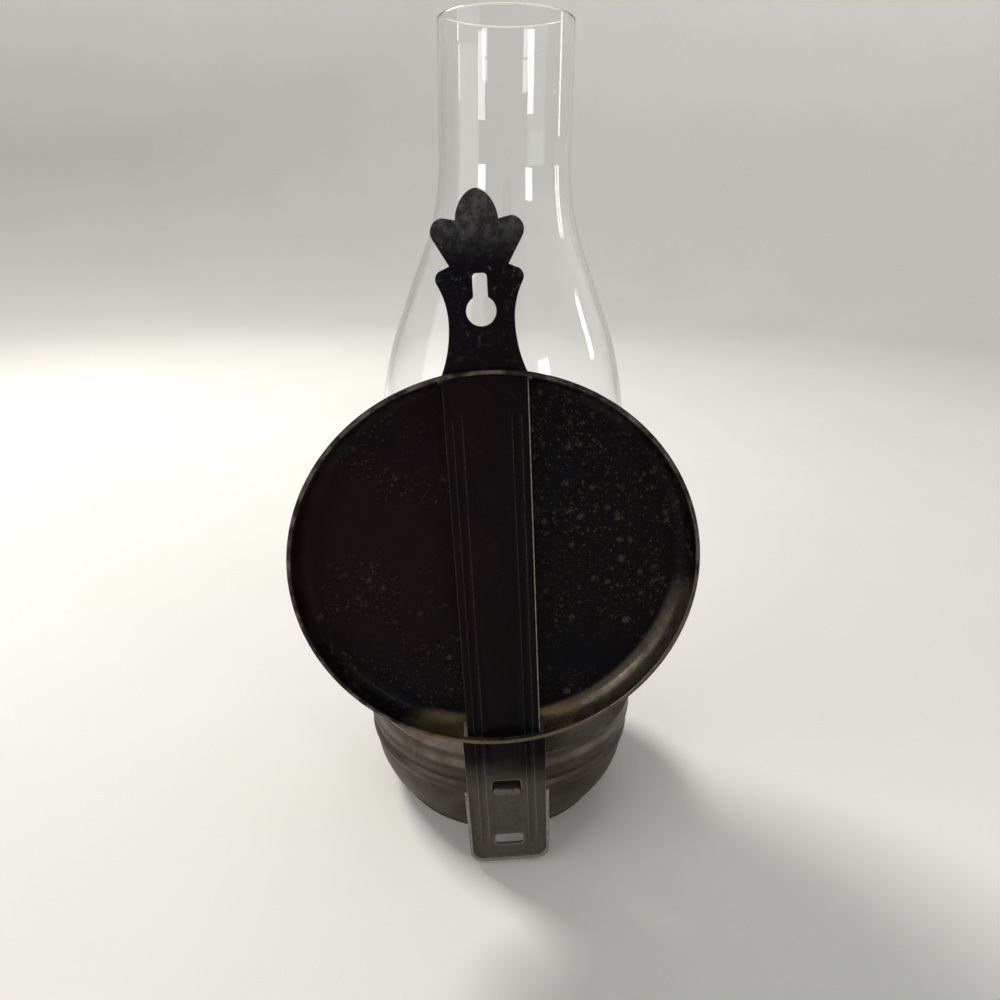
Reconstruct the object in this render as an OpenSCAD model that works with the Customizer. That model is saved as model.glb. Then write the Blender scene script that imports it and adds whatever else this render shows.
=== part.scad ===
// Wall lamp: a kerosene lamp with a tin font, a flat wick burner and a glass
// chimney, hooked onto a stamped wall strip that carries a round reflector.
// Millimetres, +Z up. The origin is the centre of the font's base, on the table.
// The room side is -Y and the wall side is +Y.

/* [Wall strip] */
// Width of the strip, and of the lobes of its finial
strip_w = 29.6; // [25:0.2:36]
// Thickness of the strip's sheet steel
strip_t = 0.7; // [0.5:0.1:1.0]
// Height of the tip of the finial above the table, along the strip
strip_top = 273.7; // [255:0.5:330]
// Height of the lower end of the strip above the table
strip_foot = 2.8; // [2.4:0.1:4]
// How far each shoulder of the tab, which carries the reflector, stands out from the strip
tab_step = 2.2; // [1.8:0.1:4]
// How much narrower the tab is on each side at its rounded lower end
tab_taper = 0.9; // [0:0.1:3]
// Height of the shoulders
shoulder_z = 67.0; // [60:0.5:75]
// Radius of the tab's lower corners
tab_corner_r = 5.0; // [3:0.5:8]
// Depth of the folded lip round the lower part of the tab, towards the wall
lip_depth = 1.1; // [0.6:0.1:3]
// Width of that lip, outside the tab's own edge
lip_w = 1.1; // [0.7:0.1:1.5]
// Height of its upper ends
lip_top = 38.5; // [30:0.5:50]
// Angle that the strip leans sideways on its hook
strip_lean = 3.1; // [0:0.1:4]
// Distance from the middle of the strip to each rib, which is pressed towards the room
rib_offset = 10.3; // [7.5:0.1:11]
// Width of a pressed rib
rib_w = 3.6; // [3:0.1:4]
// Height of a pressed rib
rib_h = 0.7; // [0.4:0.1:0.9]
// Height of the ribs' upper ends
rib_top = 200.0; // [170:1:205]
// Radius of the keyhole's round entry
key_r = 4.97; // [4:0.01:5.5]
// Width of the keyhole's slot
key_slot_w = 4.75; // [4.2:0.05:6]
// Distance from the centre of the keyhole's entry to the top of its slot
key_rise = 12.0; // [9:0.5:14]

/* [Reflector] */
// Outer diameter of the reflector over its rolled rim
reflector_d = 152.6; // [127:0.2:184]
// Depth of the reflector pan, from its flat face to its rim
reflector_depth = 11.0; // [9:0.5:14]
// Width of the curved wall of the pan, seen from the wall side
cove_w = 6.2; // [4:0.2:9]
// Sheet thickness of the pan
pan_t = 0.5; // [0.4:0.1:0.8]
// Radius of the rolled rim
hem_r = 0.95; // [0.9:0.05:1.2]
// Radius of the wire inside the rolled rim
rim_wire_r = 0.55; // [0.3:0.05:0.6]
// How far the rim stands off the strip, towards the wall
rim_standoff = 3.2; // [3:0.1:5]
// How far the slots in the pan's wall reach below the strip
slot_depth = 5.5; // [3:0.1:6]

/* [Font] */
// Radius of the font at its widest band
font_r = 64.5; // [54:0.5:78]
// Radius of the font's base
font_base_r = 51.3; // [44:0.1:52]
// Height of the font's wall
font_h = 50.0; // [46:0.5:60]
// Sheet thickness of the font
font_t = 0.6; // [0.4:0.1:0.8]
// Height that the domed top rises to the collar
font_dome_h = 3.4; // [2:0.1:6]
// Bore radius of the threaded collar
collar_bore_r = 15.9; // [14:0.1:18]
// Height of the collar above the domed top
collar_h = 4.5; // [3:0.1:7]
// Wall thickness of the collar
collar_t = 1.4; // [1:0.1:2]

/* [Hook] */
// Gap between the font's widest band and the front of the strip
hook_gap = 5.3; // [4:0.1:9]
// Drop from the top of the font's wall to the tongue that hooks into the strip's slot
hook_drop_z = 9.9; // [8:0.1:14]
// Width of the tongue
tongue_w = 11.1; // [8:0.1:12]
// Sheet thickness of the hook
hook_t = 0.9; // [0.6:0.1:1.2]
// Length of the tongue's turned down end
hook_drop = 2.7; // [2.4:0.1:4.5]

/* [Burner] */
// Width of the flat wick
wick_w = 25.4; // [20:0.2:26]
// Thickness of the wick
wick_t = 2.2; // [1.6:0.1:2.4]
// Wall thickness of the burner's brass sheet
brass_t = 0.5; // [0.4:0.1:0.7]
// Radius of the thumb wheel
thumb_r = 9.5; // [8:0.5:10]
// Radius of the spindle that turns the wick
spindle_r = 1.25; // [1:0.05:1.5]
// Radius of the spur wheels over their teeth
spur_r = 4.3; // [3.8:0.1:4.6]
// Distance from the edge of the gallery out to the thumb wheel's outer face
thumb_clear = 8.5; // [7:0.5:20]
// Height of the burner from the collar to the chimney's seat
burner_h = 21.4; // [20:0.1:26]
// Rise of the flame dome above the chimney's seat
dome_h = 19.0; // [17:0.5:24]

/* [Chimney] */
// Height of the glass chimney
chimney_h = 254.0; // [210:1:305]
// Outer radius of the chimney's base
fitter_r = 38.1; // [36:0.1:42]
// Outer radius of the chimney's bulge
bulge_r = 53.0; // [46:0.5:56]
// Height of the bulge above the chimney's base
bulge_z = 90.0; // [80:1:100]
// Outer radius of the chimney's neck
neck_r = 25.8; // [22:0.1:30]
// Thickness of the glass
glass_t = 2.1; // [1.5:0.1:2.6]

/* [Fits] */
// Gap between pieces that lie against each other without touching
seat_gap = 0.3; // [0.2:0.05:0.5]
// Radial clearance of a shaft in its bearing
run_fit = 0.05; // [0.02:0.01:0.1]
// Side clearance of the tongue in its slot, and of the wick in its tube
side_fit = 0.5; // [0.3:0.05:0.8]
// Side clearance of the strip in the reflector's slots
strip_fit = 1.4; // [1:0.1:2]

/* [Hidden] */

$fn = 64;
eps = 0.01;
// Length of a cutting tool that passes right through
through = 40;

// Colours
black_paint = [0.09, 0.08, 0.09];
worn_tin = [0.42, 0.38, 0.33];
brass = [0.72, 0.56, 0.28];
cotton = [0.90, 0.87, 0.78];
clear_glass = [0.80, 0.88, 0.90, 0.35];

// Height of the tongue's top face
hook_z = font_h - hook_drop_z;
tab_w = strip_w + 2 * tab_step;
tab_foot_w = tab_w - 2 * tab_taper;

// Planes of the strip, from its room side to its wall side
strip_front = font_r + hook_gap;
strip_back = strip_front + strip_t;
rim_face = strip_back + rim_standoff;

// Reflector
pan_r = reflector_d / 2;
pan_slot_w = strip_w + 2 * strip_fit;
hem_centre_r = pan_r - hem_r;
pan_flat_r = pan_r - hem_r - cove_w;
pan_out_r = hem_centre_r + pan_t / 2;
// The shoulders carry the pan's wall at the corners of its lower slot
pan_z = shoulder_z + seat_gap + sqrt(pow(pan_out_r, 2) - pow(pan_slot_w / 2, 2));

// Finial, set out from the centre of the keyhole's entry
key_z = strip_top - 37.5;
finial_s = strip_w / 29.6;
waist_x = 11.0 * finial_s;
waist_z = key_z - 3.2;
waist_start = waist_z - 18.0;
notch_x = 9.65 * finial_s;
notch_z = key_z + 14.5;
small_lobe_r = 3.0;
small_lobe_x = strip_w / 2 - 0.4 - small_lobe_r;
small_lobe_z = key_z + 10.5;
side_lobe_r = 4.2;
side_lobe_x = strip_w / 2 + 0.15 - side_lobe_r;
side_lobe_z = key_z + 24.9;
top_lobe_w = 6.9 * finial_s;
top_lobe_foot = key_z + 28.3;
top_lobe_lap = 0.6;
// Powers that round the top lobe's sides and blunt its tip
lobe_side_power = 1.85;
lobe_tip_power = 0.56;
key_corner_r = 1.3;

// Radii of the waist's hollow sides, below and above its narrowest height. The
// upper one runs smoothly into the small lobe.
waist_dx = strip_w / 2 - waist_x;
waist_low_r = (pow(waist_z - waist_start, 2) + pow(waist_dx, 2)) / (2 * waist_dx);
lobe_dx = small_lobe_x - waist_x;
lobe_dz = small_lobe_z - waist_z;
waist_top_r = (pow(lobe_dx, 2) + pow(lobe_dz, 2) - pow(small_lobe_r, 2))
    / (2 * (small_lobe_r + lobe_dx));

// Slots in the tab
slot_w = tongue_w + 2 * side_fit;
slot_h = hook_drop + 3.0;
slot_r = 1.5;
slot_lip = 1.0;
// Overlap of the lip and the sheet
lip_lap = 0.2;
upper_slot_z = hook_z + 0.9;
lower_slot_z = upper_slot_z - 28.7;

// Font
collar_r = collar_bore_r + collar_t;
font_seam_r = 0.9;
font_top_z = font_h + font_dome_h;
collar_top = font_top_z + collar_h;
base_plate_t = font_t;

// Burner
seat_z = collar_top + burner_h;
tube_in_w = wick_w + 2 * side_fit;
tube_in_t = wick_t + 2 * side_fit;
tube_w = tube_in_w + 2 * brass_t;
tube_t = tube_in_t + 2 * brass_t;
tube_top = seat_z + 10.5;
tube_foot = collar_top - 13.0;
wick_top = tube_top + 2.5;
plug_r = collar_bore_r - 0.4;
plug_flange_r = collar_r + 2.4;
plug_flange_t = 0.8;
plug_foot = collar_top - 8.0;
spindle_z = collar_top + 8.7;
spindle_y = -(wick_t / 2 + 0.2 + spur_r);
spindle_bore = spindle_r + run_fit;
spur_w = 1.2;
spur_places = [-9, -3, 3, 9];
spur_teeth = 12;
window_w = spur_w + 1.0;
house_clear = 0.5;
house_in_r = spur_r + house_clear;
house_half = 12.0;
sleeve_r = spindle_bore + 0.9;
basket_foot_r = plug_flange_r;
basket_top_r = fitter_r - 0.8;
deck_t = 0.8;
deck_z = seat_z - deck_t;
basket_top = deck_z;
basket_foot = collar_top + plug_flange_t;
deck_in_r = fitter_r - 6.6;
deck_r = fitter_r + 3.4;
diffuser_z = spindle_z + house_in_r + brass_t + 1.4;
vent_r = 2.0;
vent_y = tube_t / 2 + vent_r + 1.4;
vent_top = diffuser_z - 2.0;
dome_r = deck_in_r;
// Ends of the sleeve and of the spindle
sleeve_end = basket_r(spindle_z) + 8.5;
thumb_reach = deck_r + thumb_clear;
dome_slot_w = wick_w + 3.6;
dome_slot_t = 8.0;
prong_h = 18.0;
prong_arc = 15;
prong_bow = 2.2;
prong_count = 4;

// Wick tail, folded on the floor of the font
tail_bend_r = 9.0;
tail_run = 22.0;
tail_turn_r = 4.0;
tail_z = 9.0;

// Shapes used by more than one piece

// Radius of the air basket's wall at height z
function basket_r(z) =
    let (u = (z - basket_foot) / (basket_top - basket_foot))
    basket_foot_r + (basket_top_r - basket_foot_r) * (1 - pow(1 - u, 1.6));

function arc(c, r, a0, a1, n) =
    [for (i = [0 : n]) [c[0] + r * cos(a0 + (a1 - a0) * i / n), c[1] + r * sin(a0 + (a1 - a0) * i / n)]];

function reversed(v) = [for (i = [len(v) - 1 : -1 : 0]) v[i]];

function tail(v) = [for (i = [1 : len(v) - 1]) v[i]];

// A strip of sheet that follows a centre line, of thickness t across the radius
module turned_sheet(line, t) {
    rotate_extrude()
        polygon(concat([for (p = line) [p[0] - t / 2, p[1]]],
                       reversed([for (p = line) [p[0] + t / 2, p[1]]])));
}

// A flat shape in X and Z, given thickness towards +Y from the plane y
module upright(y, t) {
    translate([0, y + t, 0])
        rotate([90, 0, 0])
            linear_extrude(t)
                children();
}

module rounded_rect(w, h, r) {
    square([w - 2 * r, h], center = true);
    square([w, h - 2 * r], center = true);
    for (sx = [-1, 1], sz = [-1, 1])
        translate([sx * (w / 2 - r), sz * (h / 2 - r)])
            circle(r);
}

// The strip and the reflector lean together about the hook's tongue
module leaning() {
    translate([0, 0, hook_z])
        rotate([0, strip_lean, 0])
            translate([0, 0, -hook_z])
                children();
}

// Font

// Outer outline of the font's wall, from its base to its top seam
function font_line() = concat(
    [[font_base_r, base_plate_t], [font_base_r + 0.6, 1.6]],
    [for (i = [0 : 8]) let (u = i / 8)
        [font_base_r + 0.9 + (font_r - font_base_r - 3.2) * sin(90 * pow(u, 0.85)),
         3 + (font_h * 0.56 - 3) * u]],
    [for (i = [0 : 6]) let (u = i / 6)
        [font_r - 2.1 + 1.3 * sin(180 * u), font_h * (0.58 + 0.10 * u)]],
    [for (i = [0 : 6]) let (u = i / 6)
        [font_r - 2.0 + 2.0 * sin(180 * (0.05 + 0.75 * u)), font_h * (0.72 + 0.20 * u)]],
    [[font_r - 1.2, font_h * 0.95], [font_r - 1.2, font_h]]);

module font_bowl() {
    color(worn_tin)
        rotate_extrude()
            polygon(concat(font_line(),
                           reversed([for (p = font_line()) [p[0] - font_t, p[1]]])));
}

module font_base() {
    color(worn_tin)
        difference() {
            cylinder(r = font_base_r, h = base_plate_t);
            // Stiffening groove, pressed up into the base
            translate([0, 0, -eps])
                difference() {
                    cylinder(r = font_base_r - 8, h = base_plate_t / 2 + eps);
                    translate([0, 0, -eps])
                        cylinder(r = font_base_r - 12, h = base_plate_t);
                }
        }
}

// Domed top, whose rim is seamed over the wall's upper edge
module font_top() {
    wall_r = font_r - 1.2;
    foot_r = collar_r + 4;
    dome = [for (i = [0 : 10]) let (u = i / 10)
        [foot_r + (wall_r - 2 - foot_r) * u,
         font_h + font_t + (font_dome_h - font_t) * pow(cos(90 * u), 0.8)]];
    color(worn_tin)
        rotate_extrude()
            polygon(concat(
                [[collar_bore_r, font_top_z]],
                dome,
                [[wall_r + font_seam_r, font_h + font_t], [wall_r + font_seam_r, font_h - 2],
                 [wall_r, font_h - 2], [wall_r, font_h]],
                [for (p = reversed(dome)) [p[0], p[1] - font_t]],
                [[collar_bore_r, font_top_z - font_t]]));
}

module collar() {
    groove = 0.5;
    color(brass)
        rotate_extrude()
            difference() {
                union() {
                    translate([collar_bore_r, font_top_z])
                        square([collar_t, collar_h]);
                    translate([collar_bore_r, font_top_z])
                        square([collar_t + 2.6, 0.7]);
                }
                // Thread, drawn as rings
                for (z = [font_top_z + 1 : 1.2 : collar_top - 0.8])
                    translate([collar_bore_r, z])
                        rotate(45)
                            square(groove, center = true);
            }
}

// Foot soldered to the font's wall, with a tongue whose end turns down
module hook_bracket() {
    foot_w = tongue_w + 6;
    end_y = strip_back + seat_gap;
    corner_r = 1.6;
    color(worn_tin) {
        intersection() {
            difference() {
                translate([0, 0, hook_z - 4.5])
                    cylinder(r = font_r + hook_t, h = 9.5);
                translate([0, 0, hook_z - 5])
                    cylinder(r = font_r, h = 11);
            }
            translate([-foot_w / 2, font_r - 4, hook_z - 6])
                cube([foot_w, 8, 14]);
        }
        translate([-tongue_w / 2, font_r + hook_t * 0.4, hook_z - hook_t])
            cube([tongue_w, end_y + hook_t - font_r - hook_t * 0.4, hook_t]);
        upright(end_y, hook_t) {
            translate([-tongue_w / 2, hook_z - hook_drop + corner_r])
                square([tongue_w, hook_drop - corner_r]);
            translate([-tongue_w / 2 + corner_r, hook_z - hook_drop])
                square([tongue_w - 2 * corner_r, hook_drop]);
            for (side = [-1, 1])
                translate([side * (tongue_w / 2 - corner_r), hook_z - hook_drop + corner_r])
                    circle(corner_r);
        }
    }
}

// Burner

// Screwed plug, with the plate that the wick tube and the vent tube pass
module burner_plug() {
    skirt_t = 0.8;
    color(brass)
        difference() {
            union() {
                translate([0, 0, plug_foot])
                    cylinder(r = plug_r, h = collar_top - plug_foot);
                translate([0, 0, collar_top])
                    cylinder(r = plug_flange_r, h = plug_flange_t);
            }
            translate([0, 0, plug_foot - eps])
                cylinder(r = plug_r - skirt_t, h = collar_top - plug_foot + eps);
            translate([-tube_w / 2, -tube_t / 2, collar_top - 1])
                cube([tube_w, tube_t, 4]);
            translate([0, vent_y, collar_top - 1])
                cylinder(r = vent_r, h = 4);
        }
}

module air_basket() {
    rows = 7;
    hole_r = 1.5;
    hole_count = 24;
    sheet = 0.8;
    line = [for (i = [0 : rows]) let (z = basket_foot + (basket_top - basket_foot) * i / rows)
        [basket_r(z), z]];
    color(brass)
        difference() {
            union() {
                turned_sheet(line, sheet);
                translate([0, 0, basket_foot])
                    difference() {
                        cylinder(r = basket_foot_r, h = brass_t);
                        translate([0, 0, -eps])
                            cylinder(r = plug_r, h = brass_t + 2 * eps);
                    }
            }
            for (u = [0.34, 0.62], i = [0 : hole_count - 1])
                translate([0, 0, basket_foot + (basket_top - basket_foot) * u])
                    rotate([0, 90, (i + 0.5 + (u > 0.5 ? 0.5 : 0)) * 360 / hole_count])
                        translate([0, 0, 18])
                            cylinder(r = hole_r, h = 26, $fn = 24);
            translate([10, spindle_y, spindle_z])
                rotate([0, 90, 0])
                    cylinder(r = sleeve_r + run_fit, h = 40);
        }
}

// Pierced plate that spreads the draught
module air_diffuser() {
    disc_r = basket_r(diffuser_z) - 0.5;
    color(brass)
        translate([0, 0, diffuser_z])
            linear_extrude(brass_t)
                difference() {
                    circle(disc_r);
                    square([tube_w + 0.1, tube_t + 0.1], center = true);
                    for (row = [0 : 2], i = [0 : 17 + 6 * row])
                        rotate((i + 0.5 * row) * 360 / (18 + 6 * row))
                            translate([18.5 + 5.0 * row, 0])
                                circle(1.1, $fn = 20);
                }
}

module wick_tube() {
    window_h = 2 * sqrt(pow(spur_r, 2) - pow(-spindle_y - tube_t / 2, 2)) + 1.8;
    color(brass)
        difference() {
            translate([-tube_w / 2, -tube_t / 2, tube_foot])
                cube([tube_w, tube_t, tube_top - tube_foot]);
            translate([-tube_in_w / 2, -tube_in_t / 2, tube_foot - 1])
                cube([tube_in_w, tube_in_t, tube_top - tube_foot + 2]);
            // Windows where the spur wheels reach the wick
            for (x = spur_places)
                translate([x - window_w / 2, -tube_t, spindle_z - window_h / 2])
                    cube([window_w, tube_t, window_h]);
        }
}

module vent_tube() {
    color(brass)
        translate([0, vent_y, collar_top - 3])
            difference() {
                cylinder(r = vent_r, h = vent_top - collar_top + 3);
                translate([0, 0, -eps])
                    cylinder(r = vent_r - 0.4, h = vent_top - collar_top + 4);
            }
}

// Box over the spur wheels, whose ends are the spindle's bearings
module spur_housing() {
    length = 2 * house_half;
    out_r = house_in_r + brass_t;
    depth = -spindle_y - tube_t / 2;
    color(brass)
        difference() {
            union() {
                translate([-length / 2, spindle_y, spindle_z])
                    rotate([0, 90, 0])
                        cylinder(r = out_r, h = length);
                translate([-length / 2, spindle_y, spindle_z - out_r])
                    cube([length, depth, 2 * out_r]);
            }
            translate([-length / 2 + brass_t, spindle_y, spindle_z])
                rotate([0, 90, 0])
                    cylinder(r = house_in_r, h = length - 2 * brass_t);
            translate([-length / 2 + brass_t, spindle_y, spindle_z - house_in_r])
                cube([length - 2 * brass_t, depth + 1, 2 * house_in_r]);
            translate([-length / 2 - 1, -tube_t / 2, spindle_z - out_r - 1])
                cube([length + 2, tube_t + out_r, 2 * out_r + 2]);
            translate([-length / 2 - 1, spindle_y, spindle_z])
                rotate([0, 90, 0])
                    cylinder(r = spindle_bore, h = length + 2);
        }
}

module spindle_sleeve() {
    color(brass)
        translate([house_half, spindle_y, spindle_z])
            rotate([0, 90, 0])
                difference() {
                    cylinder(r = sleeve_r, h = sleeve_end - house_half);
                    translate([0, 0, -eps])
                        cylinder(r = spindle_bore, h = sleeve_end);
                }
}

// Deck that the chimney stands on, with the spring prongs round it
module chimney_gallery() {
    steps = 14;
    vent_holes = 24;
    contact_r = fitter_r + seat_gap + brass_t / 2;
    prong = [for (i = [0 : steps]) let (u = i / steps)
        [contact_r + prong_bow * (1 + cos(330 * u)) / 2, seat_z - 0.2 + prong_h * u]];
    color(brass) {
        difference() {
            translate([0, 0, deck_z])
                cylinder(r = deck_r, h = deck_t);
            translate([0, 0, deck_z - 1])
                cylinder(r = deck_in_r, h = deck_t + 2);
            for (i = [0 : vent_holes - 1])
                rotate((i + 0.5) * 360 / vent_holes)
                    translate([(deck_in_r + fitter_r - glass_t) / 2, 0, deck_z - 1])
                        cylinder(r = 1.4, h = deck_t + 2, $fn = 24);
        }
        for (i = [0 : prong_count - 1])
            rotate(45 + i * 360 / prong_count - prong_arc / 2)
                rotate_extrude(angle = prong_arc)
                    polygon(concat([for (p = prong) [p[0] - brass_t / 2, p[1]]],
                                   reversed([for (p = prong) [p[0] + brass_t / 2, p[1]]])));
    }
}

// Dome over the wick tube, with the slot that shapes the flame
module flame_dome() {
    height = seat_z + dome_h - deck_z;
    foot = 1.2;
    steps = 14;
    outer = concat([[dome_r, deck_z]],
        [for (i = [0 : steps]) let (a = 90 * i / steps)
            [dome_r * cos(a), deck_z + foot + (height - foot) * sin(a)]]);
    inner = concat(
        [for (i = [steps : -1 : 0]) let (a = 90 * i / steps)
            [(dome_r - brass_t) * cos(a), deck_z + foot + (height - foot - brass_t) * sin(a)]],
        [[dome_r - brass_t, deck_z]]);
    color(brass)
        difference() {
            rotate_extrude()
                polygon(concat(outer, inner));
            translate([0, 0, deck_z + foot + 2])
                linear_extrude(height) {
                    square([dome_slot_w - dome_slot_t, dome_slot_t], center = true);
                    for (side = [-1, 1])
                        translate([side * (dome_slot_w - dome_slot_t) / 2, 0])
                            circle(dome_slot_t / 2);
                }
        }
}

// Wick drive

module spindle() {
    tail = house_half + 2;
    color(brass)
        translate([-tail, spindle_y, spindle_z])
            rotate([0, 90, 0])
                cylinder(r = spindle_r, h = tail + thumb_reach + 0.6);
}

module spur_wheels() {
    root_r = spur_r - 1.1;
    color(brass)
        for (x = spur_places)
            translate([x - spur_w / 2, spindle_y, spindle_z])
                rotate([0, 90, 0])
                    linear_extrude(spur_w)
                        difference() {
                            polygon([for (i = [0 : 2 * spur_teeth - 1])
                                let (r = i % 2 == 0 ? spur_r : root_r, a = i * 180 / spur_teeth)
                                [r * cos(a), r * sin(a)]]);
                            circle(spindle_r);
                        }
}

// Knurled wheel with a raised boss, pressed onto the spindle's end
module thumb_wheel() {
    rim_w = 3.2;
    web_t = 1.0;
    hub_r = 3.0;
    rim_t = 1.4;
    notches = 32;
    hub_start = sleeve_end + seat_gap;
    color(brass)
        translate([0, spindle_y, spindle_z])
            rotate([0, 90, 0])
                difference() {
                    union() {
                        translate([0, 0, hub_start])
                            cylinder(r = hub_r, h = thumb_reach - hub_start);
                        translate([0, 0, thumb_reach - rim_w])
                            cylinder(r = thumb_r, h = rim_w);
                    }
                    for (z = [thumb_reach - rim_w - 1, thumb_reach - rim_w / 2 + web_t / 2])
                        translate([0, 0, z])
                            difference() {
                                cylinder(r = thumb_r - rim_t, h = rim_w / 2 - web_t / 2 + 1);
                                translate([0, 0, -1])
                                    cylinder(r = hub_r, h = rim_w + 2);
                            }
                    for (i = [0 : notches - 1])
                        rotate(i * 360 / notches)
                            translate([thumb_r + 0.25, 0, thumb_reach - rim_w - 1])
                                cylinder(r = 0.6, h = rim_w + 2, $fn = 16);
                    translate([0, 0, hub_start - 1])
                        cylinder(r = spindle_r, h = through);
                }
}

// Flat wick; its tail lies folded on the floor of the font
module wick() {
    half = wick_t / 2;
    bend_z = tail_z + tail_bend_r;
    run_end = -tail_bend_r - tail_run;
    color(cotton)
        rotate([90, 0, 90])
            translate([0, 0, -wick_w / 2])
                linear_extrude(wick_w) {
                    translate([-half, bend_z])
                        square([wick_t, wick_top - bend_z]);
                    translate([-tail_bend_r, bend_z])
                        intersection() {
                            difference() {
                                circle(tail_bend_r + half);
                                circle(tail_bend_r - half);
                            }
                            translate([0, -2 * tail_bend_r])
                                square(2 * tail_bend_r);
                        }
                    translate([run_end, tail_z - half])
                        square([tail_run, wick_t]);
                    translate([run_end, tail_z + tail_turn_r])
                        intersection() {
                            difference() {
                                circle(tail_turn_r + half);
                                circle(tail_turn_r - half);
                            }
                            translate([-2 * tail_turn_r, -2 * tail_turn_r])
                                square([2 * tail_turn_r, 4 * tail_turn_r]);
                        }
                    translate([run_end, tail_z + 2 * tail_turn_r - half])
                        square([tail_run - 6, wick_t]);
                }
}

// Chimney

// The glass swells from its base to the bulge and narrows to the neck by arcs
// that meet straight walls. A positive inset gives the inner face.
upper_convex_r = 160;
upper_concave_r = 98;
lower_convex_r = 110;
lower_concave_r = 38;
shoulder_slope = 21.5;
base_slope = acos(1 - (bulge_r - fitter_r) / (lower_convex_r + lower_concave_r));
neck_drop = bulge_r - neck_r;
shoulder_fall = (neck_drop - (upper_convex_r + upper_concave_r) * (1 - cos(shoulder_slope)))
    / tan(shoulder_slope);
neck_z = bulge_z + (upper_convex_r + upper_concave_r) * sin(shoulder_slope) + shoulder_fall;
waist_low_z = bulge_z - (lower_convex_r + lower_concave_r) * sin(base_slope);

function glass_line(inset) = concat(
    [[fitter_r - inset, 0]],
    arc([fitter_r + lower_concave_r, waist_low_z], lower_concave_r + inset, 180, 180 - base_slope, 8),
    arc([bulge_r - lower_convex_r, bulge_z], lower_convex_r - inset, -base_slope, 0, 12),
    arc([bulge_r - upper_convex_r, bulge_z], upper_convex_r - inset, 2, shoulder_slope, 12),
    arc([neck_r + upper_concave_r, neck_z], upper_concave_r + inset, 180 + shoulder_slope, 180, 10),
    [[neck_r - inset, chimney_h - glass_t / 2]]);

module glass_chimney() {
    color(clear_glass)
        translate([0, 0, seat_z])
            rotate_extrude() {
                polygon(concat(glass_line(0), reversed(glass_line(glass_t))));
                translate([neck_r - glass_t / 2, chimney_h - glass_t / 2])
                    circle(glass_t / 2);
            }
}

// Wall strip

// Outline of the strip below the finial; a positive inset draws it in
module tab_outline(inset) {
    foot = strip_foot + inset;
    corner = tab_corner_r - inset;
    foot_x = tab_foot_w / 2 - inset;
    polygon([[-foot_x, strip_foot + tab_corner_r], [foot_x, strip_foot + tab_corner_r],
             [tab_w / 2 - inset, shoulder_z], [inset - tab_w / 2, shoulder_z]]);
    translate([-foot_x + corner, foot])
        square([2 * (foot_x - corner), tab_corner_r]);
    for (side = [-1, 1])
        translate([side * (foot_x - corner), foot + corner])
            circle(corner);
}

// Side of the finial's tangent from the notch to the side lobe, on the right
tangent_dx = side_lobe_x - notch_x;
tangent_dz = side_lobe_z - notch_z;
tangent_len = sqrt(pow(tangent_dx, 2) + pow(tangent_dz, 2));
tangent_a = atan2(tangent_dz, tangent_dx) - asin(side_lobe_r / tangent_len);
tangent_reach = sqrt(pow(tangent_len, 2) - pow(side_lobe_r, 2));

// Right side of the strip and its finial, from the shoulder to the tip
function strip_side() =
    let (join_a = atan2(-lobe_dz, waist_x + waist_top_r - small_lobe_x),
         low_a = 180 + asin((waist_z - waist_start) / waist_low_r),
         lobe_end = 80,
         top_h = strip_top - top_lobe_foot,
         touch_x = notch_x + tangent_reach * cos(tangent_a),
         touch_z = notch_z + tangent_reach * sin(tangent_a),
         touch_a = atan2(touch_z - side_lobe_z, touch_x - side_lobe_x))
    concat(
        [[strip_w / 2, shoulder_z - 1]],
        arc([waist_x + waist_low_r, waist_z], waist_low_r, low_a, 180, 12),
        tail(arc([waist_x + waist_top_r, waist_z], waist_top_r, 180, 180 + join_a, 10)),
        tail(arc([small_lobe_x, small_lobe_z], small_lobe_r, join_a, lobe_end, 10)),
        [[notch_x, notch_z]],
        arc([side_lobe_x, side_lobe_z], side_lobe_r, touch_a, 90, 14),
        [[top_lobe_w, top_lobe_foot]],
        // Top lobe, a blunt pointed arch
        [for (i = [1 : 15]) let (u = sin(90 * i / 16))
            [top_lobe_w * pow(1 - pow(u, lobe_side_power), lobe_tip_power),
             top_lobe_foot - top_lobe_lap + (top_h + top_lobe_lap) * u]]);

// Outline of the strip above the tab, with its finial
module strip_outline() {
    side = strip_side();
    polygon(concat(side, [[0, strip_top]], reversed([for (p = side) [-p[0], p[1]]])));
}

module keyhole() {
    key_top = key_z + key_rise;
    translate([0, key_z])
        circle(key_r);
    translate([-key_slot_w / 2, key_z])
        square([key_slot_w, key_rise - key_corner_r]);
    translate([-key_slot_w / 2 + key_corner_r, key_z])
        square([key_slot_w - 2 * key_corner_r, key_rise]);
    for (side = [-1, 1])
        translate([side * (key_slot_w / 2 - key_corner_r), key_top - key_corner_r])
            circle(key_corner_r);
}

// Radius of a rib's rounded section
rib_r = (pow(rib_w / 2, 2) + pow(rib_h, 2)) / (2 * rib_h);
rib_foot = strip_foot + 9;

module rib_bar(x, r) {
    translate([x, strip_front - rib_h + rib_r, rib_foot]) {
        cylinder(r = r, h = rib_top - rib_foot, $fn = 32);
        sphere(r, $fn = 32);
        translate([0, 0, rib_top - rib_foot])
            sphere(r, $fn = 32);
    }
}

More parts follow.
